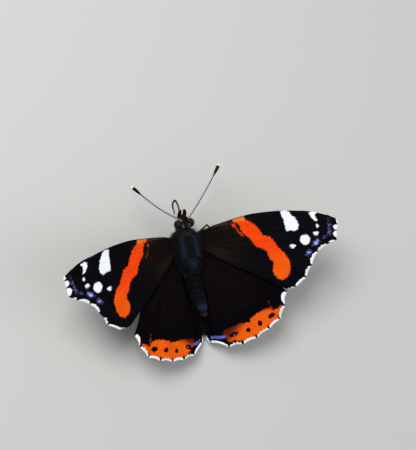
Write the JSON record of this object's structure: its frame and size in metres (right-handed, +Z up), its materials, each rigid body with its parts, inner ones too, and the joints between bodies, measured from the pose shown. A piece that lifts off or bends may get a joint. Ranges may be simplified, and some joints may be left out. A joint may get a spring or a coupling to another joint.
{
  "type": "red admiral butterfly",
  "caption": "Life-size still model of a red admiral butterfly, basking on its feet with its banded wings spread and its tongue reaching down.",
  "frame": {"origin": "on the floor, under the middle of the butterfly's overall box", "axes": "+X towards the butterfly's right wing tip, +Y the way its head faces, +Z up"},
  "size_m": [0.0634, 0.0406, 0.0177],
  "materials": {
    "body_hair": "short dark hair with a faint blue-green sheen on the thorax and a blue-grey bloom near the tail",
    "eyes": "finely faceted, red-brown",
    "wing_scales": "velvet black and brown scales with orange-red bands, white marks and blue flecks",
    "antennae": "black ringed with white, with a white tip to the club",
    "tongue": "amber-brown and darker towards the end",
    "legs": "brown, scaled and spined"
  },
  "bodies": {
    "root": {"head": "body_hair", "thorax": "body_hair", "abdomen": "body_hair", "palp_left": "body_hair", "palp_right": "body_hair", "eye_left": "eyes", "eye_right": "eyes", "antenna_left": "antennae", "antenna_right": "antennae", "proboscis": "tongue", "forewing_left": "wing_scales", "forewing_right": "wing_scales", "hindwing_left": "wing_scales", "hindwing_right": "wing_scales", "foreleg_left": "legs", "foreleg_right": "legs", "midleg_left": "legs", "midleg_right": "legs", "hindleg_left": "legs", "hindleg_right": "legs"}
  },
  "joints": []
}
